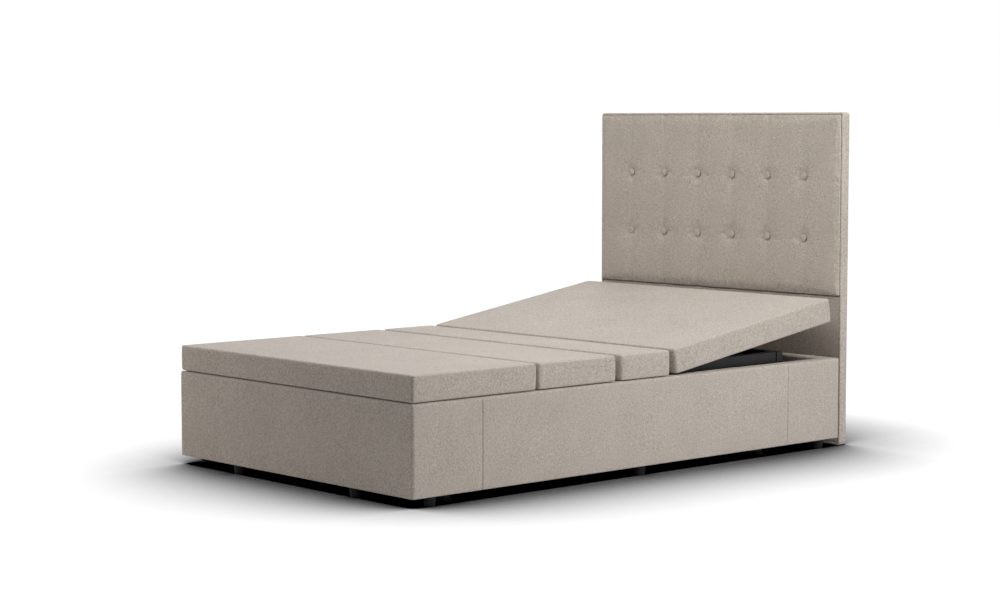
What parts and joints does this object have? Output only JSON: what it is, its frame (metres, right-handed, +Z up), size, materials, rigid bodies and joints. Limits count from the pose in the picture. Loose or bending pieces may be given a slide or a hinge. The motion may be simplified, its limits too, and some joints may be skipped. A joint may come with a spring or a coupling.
{
  "type": "adjustable bed base",
  "caption": "Upholstered bed base with a four-section lifting deck, twin linear drives on a steel frame, and a button-tufted headboard.",
  "frame": {"origin": "on the floor under the middle of the whole bed, surround and headboard together", "axes": "+Y from the foot to the headboard, +X to the right seen from the foot, +Z up"},
  "size_m": [1.27, 2.102, 1.23],
  "materials": {
    "upholstery": "woven heather taupe fabric",
    "birch_ply": "plain birch plywood",
    "black_steel": "satin black powder coat",
    "zinc_steel": "bright zinc plate",
    "rod_steel": "polished rod",
    "rubber": "matte rubber",
    "back_cloth": "thin grey backing cloth over board",
    "black_plastic": "fine matte grain"
  },
  "bodies": {
    "base": {"foot_rail": "upholstery", "head_rail": "upholstery", "side_rail_left": "upholstery", "side_rail_right": "upholstery", "glides": "black_plastic", "corner_brackets": "zinc_steel", "corner_screws": "zinc_steel", "headboard_frame": "upholstery", "headboard_pad": "upholstery", "headboard_lower_panel": "upholstery", "headboard_buttons": "upholstery", "headboard_back_cover": "back_cloth", "headboard_spacers": "rubber", "headboard_bolts": "zinc_steel", "frame_side_rails": "black_steel", "frame_cross_tubes": "black_steel", "tube_caps": "black_plastic", "frame_legs": "black_steel", "foot_pads": "rubber", "seat_bearers": "black_steel", "rest_pads": "rubber", "surround_brackets": "black_steel", "pivot_brackets": "black_steel", "pivot_pins": "zinc_steel", "seat_board": "birch_ply", "seat_pad": "upholstery", "seat_side_skirts": "upholstery", "head_actuator": "black_plastic", "leg_actuator": "black_plastic", "actuator_motors": "black_plastic", "actuator_brackets": "black_steel", "control_box": "black_plastic"},
    "head_section": {"head_board": "birch_ply", "head_pad": "upholstery", "head_side_skirts": "upholstery", "head_end_skirt": "upholstery", "head_arms": "black_steel", "head_cross_tubes": "black_steel", "head_lever": "black_steel"},
    "thigh_section": {"thigh_board": "birch_ply", "thigh_pad": "upholstery", "thigh_side_skirts": "upholstery", "thigh_arms": "black_steel", "thigh_cross_tubes": "black_steel", "leg_lever": "black_steel", "knee_pins": "zinc_steel"},
    "calf_section": {"calf_board": "birch_ply", "calf_pad": "upholstery", "calf_side_skirts": "upholstery", "calf_end_skirt": "upholstery", "calf_arms": "black_steel", "calf_cross_tubes": "black_steel", "link_pins": "zinc_steel"},
    "calf_links": {"calf_links": "black_steel", "link_tie_tube": "black_steel"},
    "head_rod": {"head_rod": "rod_steel", "head_rod_pin": "zinc_steel"},
    "leg_rod": {"leg_rod": "rod_steel", "leg_rod_pin": "zinc_steel"}
  },
  "joints": [
    {"name": "head_lift", "type": "hinge", "parent": "base", "child": "head_section", "pos_m": [0, 0.109, 0.388], "axis": [1, 0, 0], "range_deg": [-9.05, 50.95]},
    {"name": "thigh_lift", "type": "hinge", "parent": "base", "child": "thigh_section", "pos_m": [0, -0.151, 0.388], "axis": [-1, 0, 0], "range_deg": [0, 35]},
    {"name": "knee_fold", "type": "hinge", "parent": "thigh_section", "child": "calf_section", "pos_m": [0, -0.521, 0.345], "axis": [-1, 0, 0], "range_deg": [-35.5, 0.5]},
    {"name": "link_swing", "type": "hinge", "parent": "base", "child": "calf_links", "pos_m": [0, -0.451, 0.345], "axis": [-1, 0, 0], "range_deg": [-0.5, 35.5]},
    {"name": "head_rod_stroke", "type": "slide", "parent": "base", "child": "head_rod", "axis": [0, 1, 0], "range_m": [-0.0145, 0.081]},
    {"name": "leg_rod_stroke", "type": "slide", "parent": "base", "child": "leg_rod", "axis": [0, -1, 0], "range_m": [-0.0005, 0.0535]}
  ],
  "couplings": [
    {"joint": "knee_fold", "follows": "thigh_lift", "ratio": -1},
    {"joint": "link_swing", "follows": "thigh_lift", "ratio": 1},
    {"joint": "head_rod_stroke", "follows": "head_lift", "m_per_rad": 0.091},
    {"joint": "leg_rod_stroke", "follows": "thigh_lift", "m_per_rad": 0.0865}
  ]
}
